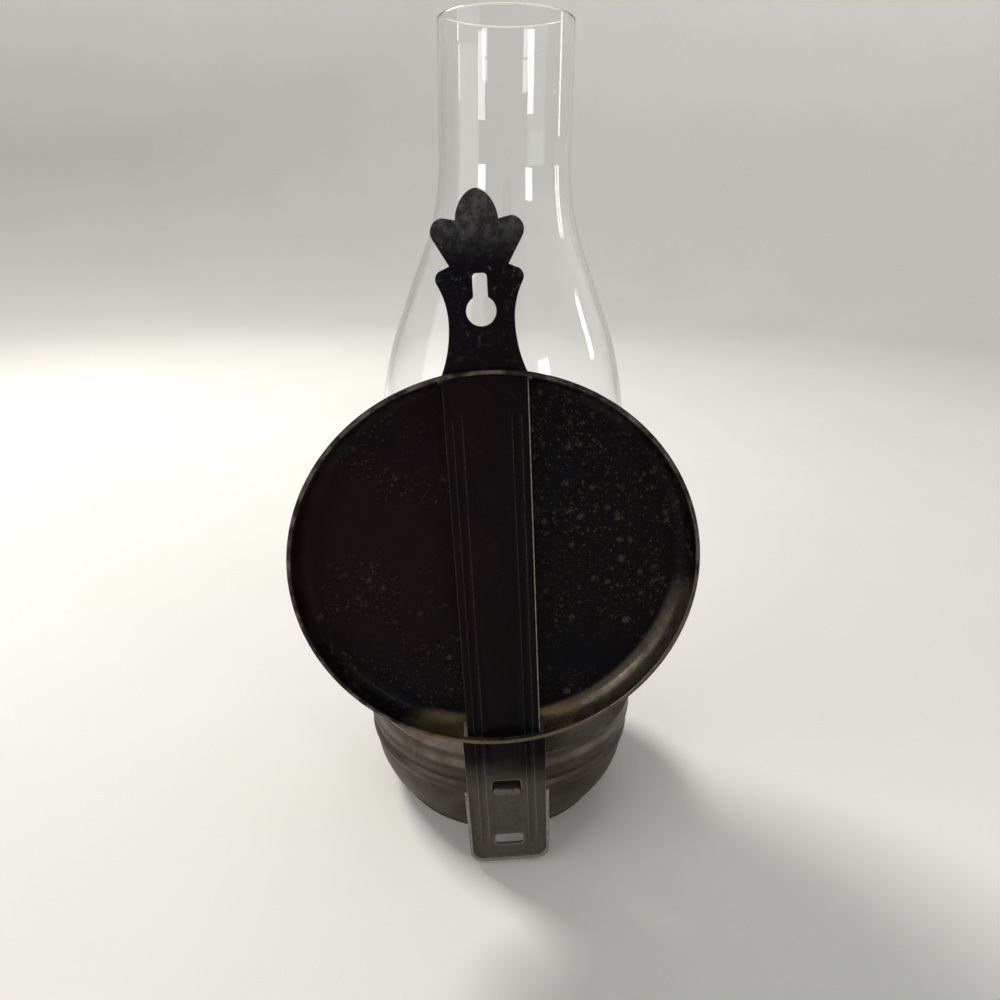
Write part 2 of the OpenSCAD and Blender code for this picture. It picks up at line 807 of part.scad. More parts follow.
module wall_strip() {
    color(black_paint)
        leaning()
            difference() {
                union() {
                    upright(strip_front, strip_t) {
                        tab_outline(0);
                        strip_outline();
                    }
                    // Folded lip round the lower part of the tab
                    upright(strip_front, strip_t + lip_depth)
                        intersection() {
                            difference() {
                                tab_outline(-lip_w);
                                tab_outline(lip_lap);
                            }
                            translate([-tab_w, 0])
                                square([2 * tab_w, lip_top]);
                        }
                    // Turned-in edges of the slots
                    for (z = [upper_slot_z, lower_slot_z])
                        upright(strip_front - slot_lip, slot_lip + strip_t)
                            translate([0, z])
                                rounded_rect(slot_w + 2 * strip_t, slot_h + 2 * strip_t, slot_r + strip_t);
                    // Ribs, pressed towards the room
                    for (side = [-1, 1])
                        intersection() {
                            rib_bar(side * rib_offset, rib_r);
                            translate([-tab_w, strip_front - rib_h - 1, 0])
                                cube([2 * tab_w, rib_h + 1 + strip_t / 2, strip_top]);
                        }
                }
                upright(strip_front - through / 2, through) {
                    keyhole();
                    for (z = [upper_slot_z, lower_slot_z])
                        translate([0, z])
                            rounded_rect(slot_w, slot_h, slot_r);
                }
                for (side = [-1, 1])
                    rib_bar(side * rib_offset, rib_r - strip_t);
            }
}

// Reflector

// Places a shape that is turned about Z on the pan's axis, with its face at 0
module on_pan() {
    leaning()
        translate([0, rim_face - reflector_depth, pan_z])
            rotate([-90, 0, 0])
                children();
}

module reflector_pan() {
    cove_h = reflector_depth - 2 * hem_r;
    out_w = pan_out_r - pan_flat_r;
    steps = 14;
    slot_low = strip_front - slot_depth - (rim_face - reflector_depth);
    slot_high = strip_back + seat_gap - (rim_face - reflector_depth);
    outer = [for (i = [0 : steps]) let (a = 90 * i / steps)
        [pan_flat_r + out_w * sin(a), cove_h * (1 - cos(a))]];
    inner = [for (i = [steps : -1 : 0]) let (a = 90 * i / steps)
        [pan_flat_r + (out_w - pan_t) * sin(a), cove_h - (cove_h - pan_t) * cos(a)]];
    color(black_paint)
        on_pan()
            difference() {
                rotate_extrude($fn = 128) {
                    polygon(concat([[0, 0]], outer,
                        [[pan_out_r, cove_h + hem_r * 0.25],
                         [pan_out_r - pan_t, cove_h + hem_r * 0.25]],
                        inner, [[0, pan_t]]));
                    translate([hem_centre_r, reflector_depth - hem_r])
                        difference() {
                            circle(hem_r, $fn = 32);
                            circle(rim_wire_r + run_fit, $fn = 32);
                        }
                }
                // Slots that the strip is threaded through, at the top and the bottom
                for (side = [-1, 1])
                    translate([-pan_slot_w / 2, side * (pan_flat_r + pan_r) / 2 - (pan_r - pan_flat_r),
                               slot_low])
                        cube([pan_slot_w, 2 * (pan_r - pan_flat_r), slot_high - slot_low]);
            }
}

module rim_wire() {
    color(worn_tin)
        on_pan()
            rotate_extrude($fn = 128)
                translate([hem_centre_r, reflector_depth - hem_r])
                    circle(rim_wire_r, $fn = 32);
}

font_bowl();
font_base();
font_top();
collar();
hook_bracket();
burner_plug();
air_basket();
air_diffuser();
wick_tube();
vent_tube();
spur_housing();
spindle_sleeve();
chimney_gallery();
flame_dome();
spindle();
spur_wheels();
thumb_wheel();
wick();
glass_chimney();
wall_strip();
reflector_pan();
rim_wire();
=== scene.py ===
import math

import bmesh
import bpy
from mathutils import Matrix, Vector, noise


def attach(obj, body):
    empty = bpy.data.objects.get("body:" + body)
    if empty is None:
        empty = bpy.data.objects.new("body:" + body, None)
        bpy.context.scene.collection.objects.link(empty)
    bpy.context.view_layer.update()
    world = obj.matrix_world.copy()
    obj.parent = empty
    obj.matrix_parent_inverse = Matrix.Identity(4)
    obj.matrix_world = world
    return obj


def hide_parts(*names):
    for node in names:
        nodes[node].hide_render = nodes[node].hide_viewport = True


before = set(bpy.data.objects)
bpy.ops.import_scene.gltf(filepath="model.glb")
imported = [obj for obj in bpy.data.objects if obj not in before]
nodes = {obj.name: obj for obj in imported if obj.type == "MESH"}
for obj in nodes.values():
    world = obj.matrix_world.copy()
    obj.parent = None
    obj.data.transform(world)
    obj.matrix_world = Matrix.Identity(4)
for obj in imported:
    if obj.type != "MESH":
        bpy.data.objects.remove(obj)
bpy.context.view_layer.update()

scene = bpy.context.scene
mm = 0.001

# The strip and the reflector lean together about the hook's tongue
leanSpec = {"angle": math.radians(3.1), "hookHeight": 40.1}


def leaned(point):
    x, y, z = point
    rise = z - leanSpec["hookHeight"]
    c, s = math.cos(leanSpec["angle"]), math.sin(leanSpec["angle"])
    return (x * c + rise * s, y, leanSpec["hookHeight"] - x * s + rise * c)


# camera, at the photograph's place
cameraSpec = {
    "place": (0.01539, 0.32373, 0.2654),
    "right": (-0.99908, 0.04219, 0.00822),
    "up": (-0.00724, -0.3536, 0.93537),
    "ahead": (-0.04237, -0.93444, -0.35358),
    "lens": 27.12,
    "sensor": 36.0,
}


def makeCamera(spec):
    data = bpy.data.cameras.new("camera")
    data.lens = spec["lens"]
    data.sensor_width = spec["sensor"]
    data.clip_start = 0.01
    data.clip_end = 20
    cam = bpy.data.objects.new("camera", data)
    scene.collection.objects.link(cam)
    right, up, ahead = (Vector(spec[k]) for k in ("right", "up", "ahead"))
    turn = Matrix((right, up, -ahead)).transposed().to_4x4()
    cam.matrix_world = Matrix.Translation(spec["place"]) @ turn
    scene.camera = cam


makeCamera(cameraSpec)
scene.view_settings.view_transform = "Standard"
print("camera placed")


# shader maths

class Wire:
    # one output of a node, for use in an expression
    def __init__(self, paint, out):
        self.paint = paint
        self.out = out

    def calc(self, operation, *others):
        return self.paint.add("ShaderNodeMath", {"operation": operation}, dict(enumerate((self,) + others)))

    def back(self, operation, other):
        return self.paint.add("ShaderNodeMath", {"operation": operation}, {0: other, 1: self})

    def __add__(self, other):
        return self.calc("ADD", other)

    def __radd__(self, other):
        return self.calc("ADD", other)

    def __sub__(self, other):
        return self.calc("SUBTRACT", other)

    def __rsub__(self, other):
        return self.back("SUBTRACT", other)

    def __mul__(self, other):
        return self.calc("MULTIPLY", other)

    def __rmul__(self, other):
        return self.calc("MULTIPLY", other)

    def __truediv__(self, other):
        return self.calc("DIVIDE", other)

    def __rtruediv__(self, other):
        return self.back("DIVIDE", other)

    def __pow__(self, other):
        return self.calc("POWER", other)

    def other(self, name):
        return Wire(self.paint, self.out.node.outputs[name])


class Paint:
    # one material and its nodes
    def __init__(self, name):
        self.mat = bpy.data.materials.new(name)
        self.mat.use_nodes = True
        self.tree = self.mat.node_tree
        self.tree.nodes.clear()
        self.end = self.tree.nodes.new("ShaderNodeOutputMaterial")
        self.shader = self.tree.nodes.new("ShaderNodeBsdfPrincipled")
        self.tree.links.new(self.shader.outputs[0], self.end.inputs[0])
        here = self.add("ShaderNodeTexCoord", {}, {}).other("Object")
        self.at = self.vector("SCALE", here, size=1000)   # millimetres

    def feed(self, socket, value):
        if isinstance(value, Wire):
            self.tree.links.new(value.out, socket)
        elif isinstance(value, tuple) and len(value) == 3 and socket.type == "RGBA":
            socket.default_value = value + (1,)
        else:
            socket.default_value = value

    def add(self, kind, settings, sockets, output=0):
        node = self.tree.nodes.new(kind)
        for key, value in settings.items():
            if key == "stops":
                ramp = node.color_ramp.elements
                while len(ramp) < len(value):
                    ramp.new(0.5)
                for stop, (place, colour) in zip(ramp, value):
                    stop.position = place
                    stop.color = colour + (1,)
            else:
                setattr(node, key, value)
        for key, value in sockets.items():
            if isinstance(key, int):
                socket = node.inputs[key]
            else:
                socket = next(s for s in node.inputs if s.identifier == key or (s.name == key and s.enabled))
            self.feed(socket, value)
        return Wire(self, node.outputs[output])

    def vector(self, operation, first, second=None, size=None):
        sockets = {0: first}
        if second is not None:
            sockets[1] = second
        if size is not None:
            sockets["Scale"] = size
        out = 1 if operation in ("LENGTH", "DISTANCE", "DOT_PRODUCT") else 0
        return self.add("ShaderNodeVectorMath", {"operation": operation}, sockets, out)

    def parts(self, where):
        split = self.add("ShaderNodeSeparateXYZ", {}, {0: where})
        return split, split.other("Y"), split.other("Z")

    def upright(self):
        # place on the strip before it leaned
        pivot = (0, 0, leanSpec["hookHeight"])
        return self.add("ShaderNodeVectorRotate", {"rotation_type": "AXIS_ANGLE"},
                        {"Vector": self.at, "Center": pivot, "Axis": (0, 1, 0), "Angle": -leanSpec["angle"]})

    def stretch(self, where, x, y, z):
        return self.vector("MULTIPLY", where, (x, y, z))

    def noise(self, where, scale, detail=3.0, rough=0.55, warp=0.0):
        return self.add("ShaderNodeTexNoise", {"noise_dimensions": "3D"},
                        {"Vector": where, "Scale": scale, "Detail": detail, "Roughness": rough,
                         "Distortion": warp})

    def cells(self, where, scale, feature="F1", shake=1.0):
        return self.add("ShaderNodeTexVoronoi", {"feature": feature},
                        {"Vector": where, "Scale": scale, "Randomness": shake})

    def step(self, value, low, high):
        # 0 below low and 1 above high, smooth between; low may be the larger
        if low <= high:
            return self.add("ShaderNodeMapRange", {"interpolation_type": "SMOOTHSTEP"},
                            {"Value": value, "From Min": low, "From Max": high})
        return 1 - self.step(value, high, low)

    def most(self, first, second):
        return first.calc("MAXIMUM", second)

    def blend(self, factor, first, second):
        return self.add("ShaderNodeMix", {"data_type": "RGBA"},
                        {"Factor_Float": factor, "A_Color": first, "B_Color": second}, 2)

    def ramp(self, factor, stops):
        return self.add("ShaderNodeValToRGB", {"stops": stops}, {0: factor})

    def edges(self, radius):
        # 1 on a sharp edge, 0 on a flat face
        soft = self.add("ShaderNodeBevel", {"samples": 6}, {"Radius": radius * mm})
        plain = self.add("ShaderNodeNewGeometry", {}, {}).other("Normal")
        return 1 - self.vector("DOT_PRODUCT", soft, plain)

    def bump(self, height, strength, depth):
        sockets = {"Height": height, "Strength": strength, "Distance": depth * mm}
        return self.add("ShaderNodeBump", {}, sockets)

    def finish(self, sockets):
        for key, value in sockets.items():
            self.feed(self.shader.inputs[key], value)
        return self.mat


# materials

paintSpec = {
    "black": (0.0022, 0.0013, 0.0017), "maroon": (0.0085, 0.0019, 0.0030), "blue": (0.0013, 0.0017, 0.0034),
    "speck": (0.058, 0.047, 0.038), "rust": (0.050, 0.029, 0.018), "bareMetal": (0.42, 0.39, 0.34),
    "dust": (0.11, 0.108, 0.105), "rough": 0.33, "specular": 0.06,
}


def blackPaint(name, finial=False, tab=False, pan=False):
    s = paintSpec
    paint = Paint(name)
    at = paint.upright()
    x, y, z = paint.parts(at)
    cloud = paint.noise(at, 0.028, 4, 0.6)
    fine = paint.noise(at, 0.9, 4, 0.6)
    # maroon where the coat thinned on the middle and the left half, blue-black in patches
    warm = paint.step(x + cloud * 60, 2, 62) * paint.step(z, 70, 150)
    colour = paint.blend(warm * 0.9, s["black"], s["maroon"])
    cold = paint.step(paint.noise(at, 0.02, 2, 0.5), 0.48, 0.66)
    colour = paint.blend(cold * 0.8, colour, s["blue"])
    colour = paint.blend(fine * 0.35, colour, (0.002, 0.0015, 0.002))
    # specks of three sizes and a few rust spots, thicker in patches and on the side away from the thumb wheel
    patch = paint.step(paint.noise(at, 0.035, 3, 0.55) - x * 0.0017, 0.36, 0.6)
    ragged = (paint.noise(at, 1.3, 4, 0.65) - 0.5) * 0.75
    wobble = paint.noise(at, 0.5, 3, 0.6).other("Color")
    shifted = paint.vector("ADD", at, paint.vector("SCALE", wobble, size=2.2))
    specks, tone = None, None
    for scale, size, share in ((0.9, 0.32, 0.5), (0.46, 0.32, 0.55), (0.22, 0.30, 0.62)):
        cell = paint.cells(shifted, scale)
        tint = paint.parts(cell.other("Color"))
        dot = paint.step(cell + ragged, size, size - 0.14) * paint.step(tint[0], share, share + 0.05) * patch
        specks = dot if specks is None else paint.most(specks, dot)
        tone = tint[1] if tone is None else tone
    if not pan:
        specks = specks * 0.12
    large = paint.cells(shifted, 0.085)
    largeTone = paint.parts(large.other("Color"))
    spots = paint.step(large + ragged * 0.4, 0.17, 0.08) * paint.step(largeTone[0], 0.6, 0.64)
    spots = spots * paint.step(patch, 0.1, 0.6)
    spots = spots * paint.step(fine, 0.25, 0.5) * (1.0 if pan else 0.1)
    colour = paint.blend(specks * (0.3 + tone * 0.6), colour, paint.blend(tone, s["speck"], s["rust"]))
    colour = paint.blend(spots * 0.65, colour, paint.blend(largeTone[1], s["rust"], s["speck"]))
    # hairline scratches, slanting both ways
    scratch = None
    for angle in (0.62, -0.85):
        slant = paint.add("ShaderNodeVectorRotate", {"rotation_type": "AXIS_ANGLE"},
                          {"Vector": at, "Axis": (0, 1, 0), "Angle": angle})
        line = paint.step(paint.noise(paint.stretch(slant, 2.6, 0.4, 0.06), 1.0, 2, 0.4), 0.735, 0.76)
        scratch = line if scratch is None else paint.most(scratch, line)
    scratch = scratch * paint.step(paint.noise(at, 0.09, 2, 0.5), 0.52, 0.62)
    colour = paint.blend(scratch * 0.5, colour, s["speck"])
    wear = paint.step(paint.edges(0.35) + (fine - 0.5) * 0.12, 0.03, 0.16)
    if tab:
        # painted highlight along the strip's -X edge, where it catches the light; the +X edge gets only a trace
        # of it
        side = paint.step(x.calc("ABSOLUTE"), 14.35, 14.65) * paint.step(z, 66, 70) * paint.step(z, 222, 205)
        side = side * (0.05 + 0.95 * paint.step(x, 1, -1))
        # painted shade: the edge wear is mostly taken off the +X edge, which lies in shade
        shadedEdge = paint.step(x, 9, 13) * paint.step(z, 66, 72) * paint.step(z, 222, 212)
        wear = wear * (1 - 0.85 * shadedEdge)
        wear = paint.most(wear, side * (0.45 + 0.5 * paint.step(fine, 0.3, 0.6)))
        # thin lighter lines along the rib edges: painted highlight on the rib flanks, partly rubbed wear
        ribWearAndHighlight = None
        for edge in (8.6, 12.0):
            near = paint.step((x.calc("ABSOLUTE") - edge).calc("ABSOLUTE"), 0.4, 0.1)
            ribWearAndHighlight = near if ribWearAndHighlight is None else paint.most(ribWearAndHighlight, near)
        ribWearAndHighlight = ribWearAndHighlight * paint.step(z, 12, 14) * paint.step(z, 201, 198)
        colour = paint.blend(ribWearAndHighlight * (0.2 + 0.5 * paint.step(fine, 0.35, 0.6)), colour, (0.026, 0.018, 0.019))
    rough = s["rough"] + fine * 0.2 - 0.08 + specks * 0.2 + spots * 0.25
    height = fine * 0.25 + paint.noise(at, 0.25, 3, 0.5) * 0.8 + specks * 0.5 + spots * 0.9 - scratch * 0.4
    if finial:
        # domed petals with dark hollows between them, dusty on the crown
        dome = None
        for px, pz, radius in finialSpec["petals"]:
            away = ((x - px) ** 2 + (z - pz) ** 2) / radius ** 2
            part = paint.most(1 - away, 0.0)
            dome = part if dome is None else paint.most(dome, part)
        dust = paint.step(z, 250, 268) * (0.35 + 0.65 * paint.step(paint.noise(at, 0.35, 5, 0.7), 0.4, 0.62))
        scuff = paint.step(paint.noise(at, 0.4, 5, 0.7), 0.56, 0.68) * paint.step(z, 205, 250)
        colour = paint.blend(dust * 0.55, colour, s["dust"])
        colour = paint.blend(scuff * 0.4, colour, s["dust"])
        height = height + dome ** 0.5 * 14.0 * paint.step(z, 244, 247)
        rough = rough + dust * 0.25
    if tab:
        # the coat is rubbed grey on the tab
        rub = paint.step(z + (cloud - 0.5) * 24, 58, 38) * (0.8 + 0.2 * paint.step(fine, 0.3, 0.6))
        grey = paint.blend(paint.noise(at, 0.2, 4, 0.6), (0.052, 0.046, 0.037), (0.088, 0.08, 0.065))
        # pressed borders round the slots painted lighter grey: rubbed wear, with a painted highlight where the
        # raised lips catch the light
        border = None
        for slotZ in tabSpec["slots"]:
            dx = (x.calc("ABSOLUTE") - tabSpec["slotX"]).calc("MAXIMUM", 0.0)
            dz = ((z - slotZ).calc("ABSOLUTE") - tabSpec["slotZ"]).calc("MAXIMUM", 0.0)
            ring = paint.step((dx ** 2 + dz ** 2) ** 0.5, tabSpec["round"] + 0.9, tabSpec["round"] + 0.3)
            border = ring if border is None else paint.most(border, ring)
        grey = paint.blend(border * 0.55, grey, (0.17, 0.155, 0.125))
        colour = paint.blend(rub * 0.95, colour, grey)
        # brighter rib-edge lines on the rubbed tab: painted highlight, partly wear
        colour = paint.blend(rub * ribWearAndHighlight * 0.45, colour, (0.15, 0.135, 0.11))
        lip = paint.step(y, 70.75, 71.1) * (0.55 + 0.45 * paint.step(fine, 0.35, 0.6))
        colour = paint.blend(lip * 0.85, colour, (0.24, 0.215, 0.17))
        rough = rough - rub * 0.02
    if pan:
        # the coat is worn through along the bottom of the curved wall; on the lower right the bare metal is also
        # painted lighter, partly a painted highlight where the wall faces the light
        rise = z - panSpec["centreZ"]
        away = (x ** 2 + rise ** 2) ** 0.5
        band = paint.step(away, 68.0, 71.0)
        low = paint.step(rise, -62, -71) * band
        brass = low * (0.35 + 0.65 * paint.step(paint.noise(at, 0.12, 4, 0.6), 0.3, 0.65))
        # painted highlight, partly real wear: bare, lighter metal on the lower-right wall where the light falls
        wearAndSheen = paint.step(x * 0.55 + rise * 0.83, -44, -62) * band
        wearAndSheen = wearAndSheen * (0.7 + 0.3 * paint.step(paint.noise(at, 0.14, 3, 0.5), 0.35, 0.6))
        colour = paint.blend(wearAndSheen * 0.8, colour, (0.12, 0.10, 0.078))
        colour = paint.blend(brass * 0.8, colour, (0.20, 0.148, 0.068))
        wall = band * paint.step(paint.noise(at, 0.06, 4, 0.6), 0.35, 0.75)
        colour = paint.blend(wall * 0.35, colour, (0.022, 0.019, 0.018))
        rough = rough - wearAndSheen * 0.08
        height = height * (1 - 0.85 * paint.most(wearAndSheen, brass))
        hem = paint.step(y, 73.25, 73.6) * (0.1 + 0.8 * paint.step(paint.noise(at, 0.15, 4, 0.6), 0.4, 0.65))
        colour = paint.blend(hem, colour, (0.12, 0.105, 0.084))
    # on the strip, wear also carries the painted highlight on the -X edge and the painted shade on the +X edge,
    # beside real rubbed edges
    colour = paint.blend(wear * 0.8, colour, s["bareMetal"])
    metal = wear * 0.6
    if pan:
        metal = paint.most(metal, paint.most(wearAndSheen, brass) * 0.85)
    return paint.finish({"Base Color": colour, "Roughness": rough, "Metallic": metal,
                         "Specular IOR Level": s["specular"], "Normal": paint.bump(height, 0.5, 0.12)})


tinSpec = {
    "olive": (0.048, 0.039, 0.028), "brown": (0.030, 0.019, 0.013), "grey": (0.088, 0.078, 0.064),
    "bright": (0.27, 0.25, 0.21), "rust": (0.08, 0.036, 0.016),
}


def wornTin(name):
    s = tinSpec
    paint = Paint(name)
    at = paint.at
    x, y, z = paint.parts(at)
    cloud = paint.noise(at, 0.045, 4, 0.6, 0.4)
    fine = paint.noise(at, 0.8, 5, 0.65)
    streak = paint.noise(paint.stretch(at, 0.35, 0.35, 0.05), 1.0, 4, 0.6)
    colour = paint.ramp(cloud, [(0.3, s["brown"]), (0.48, s["olive"]), (0.68, s["grey"])])
    colour = paint.blend(paint.step(streak, 0.5, 0.72) * 0.6, colour, s["brown"])
    colour = paint.blend(paint.step(fine, 0.55, 0.75) * 0.4, colour, s["grey"])
    pits = paint.cells(at, 0.5)
    spot = paint.step(pits, 0.3, 0.14) * paint.step(paint.noise(at, 0.07, 3, 0.6), 0.5, 0.64)
    colour = paint.blend(spot * 0.8, colour, s["rust"])
    wear = paint.step(paint.edges(0.6) + (fine - 0.5) * 0.1, 0.04, 0.2)
    # painted highlight band round the upper shoulder bead, joined with the rubbed edges below
    crestHighlight = paint.step(z, 42.5, 44.5) * paint.step(z, 48, 45.5)
    wearAndSheen = paint.most(wear, crestHighlight * (0.25 + 0.5 * paint.step(paint.noise(at, 0.07, 5, 0.62), 0.4, 0.68)))
    colour = paint.blend(wearAndSheen * 0.6, colour, s["bright"])
    rough = 0.38 + fine * 0.18 + spot * 0.3 - wearAndSheen * 0.1
    height = fine * 0.3 + paint.noise(at, 0.12, 3, 0.5) * 1.6 - spot * 0.6
    return paint.finish({"Base Color": colour, "Roughness": rough, "Metallic": 0.72 - spot * 0.6,
                         "Normal": paint.bump(height, 0.6, 0.15)})


def hookMetal(name):
    paint = Paint(name)
    x, y, z = paint.parts(paint.at)
    fine = paint.noise(paint.at, 0.9, 5, 0.65)
    bare = paint.step(y, hookSpec["bareFrom"], hookSpec["bareFrom"] + 0.3)
    bare = bare * (0.6 + 0.4 * paint.step(fine, 0.35, 0.6))
    wear = paint.step(paint.edges(0.3) + (fine - 0.5) * 0.1, 0.08, 0.25)
    # near-black standing for painted shade: the tongue lies in shade inside the slot; the bare end stays lighter
    shadeDark = paint.blend(fine, hookSpec["black"], (0.02, 0.017, 0.014))
    colour = paint.blend(paint.most(bare, wear * 0.5), shadeDark, hookSpec["bare"])
    return paint.finish({"Base Color": colour, "Roughness": 0.45 + fine * 0.2, "Metallic": bare * 0.5,
                         "Specular IOR Level": 0.2, "Normal": paint.bump(fine, 0.4, 0.1)})


def brightTin(name):
    paint = Paint(name)
    at = paint.upright()
    x, y, z = paint.parts(at)
    cloud = paint.noise(at, 0.04, 4, 0.6, 0.5)
    fine = paint.noise(at, 0.9, 5, 0.65)
    colour = paint.ramp(cloud, [(0.32, (0.30, 0.26, 0.20)), (0.52, (0.50, 0.48, 0.44)),
                                (0.72, (0.60, 0.585, 0.55))])
    pits = paint.cells(at, 0.35)
    spot = paint.step(pits + (fine - 0.5) * 0.3, 0.24, 0.1)
    spot = spot * paint.step(paint.noise(at, 0.05, 3, 0.6), 0.46, 0.66)
    colour = paint.blend(spot * 0.85, colour, (0.11, 0.065, 0.035))
    rise = z - panSpec["centreZ"]
    soot = paint.step((x ** 2 + (rise - 40) ** 2) ** 0.5, 52, 8) * paint.step(fine, 0.25, 0.7)
    colour = paint.blend(soot * 0.45, colour, (0.10, 0.085, 0.07))
    rough = 0.26 + cloud * 0.16 + spot * 0.4 + soot * 0.2
    height = fine * 0.25 + paint.noise(at, 0.06, 3, 0.5) * 3 - spot * 0.5
    return paint.finish({"Base Color": colour, "Roughness": rough, "Metallic": 0.92 - spot * 0.6 - soot * 0.3,
                         "Normal": paint.bump(height, 0.5, 0.15)})


def agedBrass(name, sootAbove=None):
    paint = Paint(name)
    at = paint.at
    x, y, z = paint.parts(at)
    cloud = paint.noise(at, 0.09, 4, 0.6, 0.6)
    fine = paint.noise(at, 1.1, 5, 0.65)
    colour = paint.ramp(cloud, [(0.3, (0.115, 0.07, 0.032)), (0.5, (0.33, 0.225, 0.092)),
                                (0.72, (0.50, 0.365, 0.155))])
    colour = paint.blend(paint.step(fine, 0.5, 0.75) * 0.5, colour, (0.10, 0.06, 0.03))
    green = paint.step(paint.noise(at, 0.16, 4, 0.7), 0.6, 0.72)
    colour = paint.blend(green * 0.3, colour, (0.09, 0.12, 0.08))
    wear = paint.step(paint.edges(0.3) + (fine - 0.5) * 0.1, 0.04, 0.2)
    colour = paint.blend(wear * 0.7, colour, (0.62, 0.46, 0.21))
    rough = 0.34 + fine * 0.2 + green * 0.25 - wear * 0.1
    metal = 1 - green * 0.6
    if sootAbove is not None:
        soot = paint.step(z + (cloud - 0.5) * 8, sootAbove, sootAbove + 7)
        colour = paint.blend(soot * 0.75, colour, (0.03, 0.024, 0.02))
        rough = rough + soot * 0.25
        metal = metal - soot * 0.4
    height = fine * 0.3 + cloud * 0.5
    return paint.finish({"Base Color": colour, "Roughness": rough, "Metallic": metal,
                         "Normal": paint.bump(height, 0.45, 0.1)})


def steelWire(name):
    paint = Paint(name)
    fine = paint.noise(paint.at, 0.8, 4, 0.6)
    colour = paint.ramp(fine, [(0.35, (0.08, 0.055, 0.04)), (0.6, (0.22, 0.20, 0.185)),
                               (0.75, (0.34, 0.32, 0.30))])
    return paint.finish({"Base Color": colour, "Roughness": 0.35 + fine * 0.3, "Metallic": 0.9,
                         "Normal": paint.bump(fine, 0.4, 0.06)})


def cottonWick(name):
    paint = Paint(name)
    at = paint.at
    x, y, z = paint.parts(at)
    along = y + z
    weave = (x * 4.95).calc("SINE") * (along * 4.4).calc("SINE")
    fuzz = paint.noise(at, 2.2, 5, 0.7)
    colour = paint.blend(fuzz, (0.52, 0.45, 0.33), (0.72, 0.66, 0.54))
    # painted shade in the hollows of the weave
    colour = paint.blend(paint.step(weave, 0.0, -0.8) * 0.4, colour, (0.36, 0.29, 0.2))
    soaked = paint.step(z + (paint.noise(at, 0.3, 3, 0.5) - 0.5) * 6, 80, 74)
    colour = paint.blend(soaked * 0.35, colour, (0.42, 0.33, 0.2))
    line = z + (paint.noise(at, 0.35, 4, 0.6) - 0.5) * 2.2
    scorch = paint.step(line, 87.5, 90)
    colour = paint.blend(scorch * 0.85, colour, (0.10, 0.055, 0.03))
    char = paint.step(line, 89.6, 91.2)
    colour = paint.blend(char, colour, (0.012, 0.011, 0.011))
    return paint.finish({"Base Color": colour, "Roughness": 0.92 - char * 0.1,
                         "Normal": paint.bump(weave * 0.6 + fuzz * 0.8, 0.7, 0.16)})


def clearGlass(name):
    paint = Paint(name)
    smear = paint.noise(paint.stretch(paint.at, 1, 1, 0.35), 0.05, 4, 0.6)
    fine = paint.noise(paint.at, 0.8, 4, 0.6)
    smudge = paint.step(smear, 0.52, 0.72) * fine
    tint = paint.blend(smudge * 0.4, (0.985, 0.99, 0.988), (0.955, 0.955, 0.94))
    ripple = paint.noise(paint.stretch(paint.at, 1, 1, 0.2), 0.035, 2, 0.5)
    return paint.finish({"Base Color": tint, "Roughness": 0.004 + smudge * 0.03, "Transmission Weight": 1.0,
                         "IOR": 1.47, "Normal": paint.bump(ripple, 0.12, 0.5)})


def paleFloor(name):
    paint = Paint(name)
    x, y, z = paint.parts(paint.at)
    cloud = paint.noise(paint.at, 0.004, 3, 0.5)
    colour = paint.blend(cloud, floorSpec["colour"], floorSpec["colourB"])
    colour = paint.blend(paint.step(z, 900, 2200), colour, floorSpec["high"])
    glow = paint.blend(paint.step(z, 60, 1500), (0.0, 0.0, 0.0), floorSpec["glow"])
    return paint.finish({"Base Color": colour, "Roughness": 0.9, "Specular IOR Level": 0.1,
                         "Emission Color": glow, "Emission Strength": 1.0,
                         "Normal": paint.bump(paint.noise(paint.at, 0.4, 4, 0.6), 0.15, 0.1)})


tabSpec = {"slots": (41.0, 12.3), "slotX": 4.55, "slotZ": 1.35, "round": 1.5}
# hook black: a near-black for painted shade on the hook's tongue
hookSpec = {"bareFrom": 70.85, "black": (0.006, 0.0055, 0.005), "bare": (0.13, 0.113, 0.09)}
finialSpec = {
    "petals": [(0, 267.0, 6.4), (10.7, 261.0, 4.2), (-10.7, 261.0, 4.2), (7.0, 256.5, 4.6),
               (-7.0, 256.5, 4.6), (0, 259.5, 6.2), (11.2, 246.7, 3.2), (-11.2, 246.7, 3.2)],
}
floorSpec = {"colour": (0.66, 0.64, 0.60), "colourB": (0.72, 0.705, 0.675), "high": (0.64, 0.635, 0.62),
             "glow": (0.22, 0.22, 0.215), "radius": 2.6, "bend": 0.9, "height": 2.6}
panSpec = {"centreZ": 141.144, "radius": 76.3, "hemRadius": 0.95, "cove": 6.2, "sheet": 0.5, "depth": 11.0,
           "rimY": 73.7, "slotHalf": 16.2, "slotLow": 1.6, "slotHigh": 8.1, "steps": 256}


# mesh helpers

def makeObject(name, mesh, materials, smooth=35):
    obj = bpy.data.objects.new(name, mesh)
    scene.collection.objects.link(obj)
    for mat in materials:
        mesh.materials.append(mat)
    mesh.shade_smooth()
    mesh.set_sharp_from_angle(angle=math.radians(smooth))
    return obj


